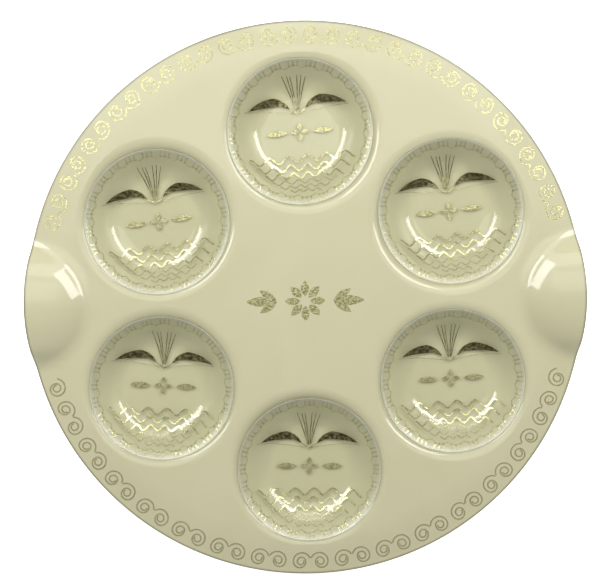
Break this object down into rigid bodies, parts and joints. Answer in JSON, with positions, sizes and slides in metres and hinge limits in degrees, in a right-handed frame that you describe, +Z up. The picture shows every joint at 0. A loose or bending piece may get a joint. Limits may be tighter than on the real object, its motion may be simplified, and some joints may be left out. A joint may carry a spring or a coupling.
{
  "type": "seder plate",
  "caption": "Round glossy plastic serving plate with a ring of wells that hold loose clear dishes, a finger lift on each side and stamped gold foil ornament.",
  "frame": {"origin": "centre of the plate's round outline, level with the undersides of its wells", "axes": "+Z up out of the dishes, +Y towards the dish at the top of the picture, +X to the picture's right"},
  "size_m": [0.305, 0.305, 0.0269],
  "materials": {
    "pearl_plastic": "pearly gloss",
    "clear_plastic": "clear gloss",
    "gold_foil": "worn stamped foil"
  },
  "bodies": {
    "plate": {"plate": "pearl_plastic", "upper_rim_foil": "gold_foil", "lower_rim_foil": "gold_foil", "centre_foil": "gold_foil"},
    "top_dish": {"top_dish": "clear_plastic", "top_dish_foil": "gold_foil"},
    "upper_right_dish": {"upper_right_dish": "clear_plastic", "upper_right_dish_foil": "gold_foil"},
    "lower_right_dish": {"lower_right_dish": "clear_plastic", "lower_right_dish_foil": "gold_foil"},
    "bottom_dish": {"bottom_dish": "clear_plastic", "bottom_dish_foil": "gold_foil"},
    "lower_left_dish": {"lower_left_dish": "clear_plastic", "lower_left_dish_foil": "gold_foil"},
    "upper_left_dish": {"upper_left_dish": "clear_plastic", "upper_left_dish_foil": "gold_foil"}
  },
  "joints": [
    {"name": "top_dish_lift", "type": "slide", "parent": "plate", "child": "top_dish", "axis": [0, 0, 1], "range_m": [0, 0.06]},
    {"name": "upper_right_dish_lift", "type": "slide", "parent": "plate", "child": "upper_right_dish", "axis": [0, 0, 1], "range_m": [0, 0.06]},
    {"name": "lower_right_dish_lift", "type": "slide", "parent": "plate", "child": "lower_right_dish", "axis": [0, 0, 1], "range_m": [0, 0.06]},
    {"name": "bottom_dish_lift", "type": "slide", "parent": "plate", "child": "bottom_dish", "axis": [0, 0, 1], "range_m": [0, 0.06]},
    {"name": "lower_left_dish_lift", "type": "slide", "parent": "plate", "child": "lower_left_dish", "axis": [0, 0, 1], "range_m": [0, 0.06]},
    {"name": "upper_left_dish_lift", "type": "slide", "parent": "plate", "child": "upper_left_dish", "axis": [0, 0, 1], "range_m": [0, 0.06]}
  ]
}
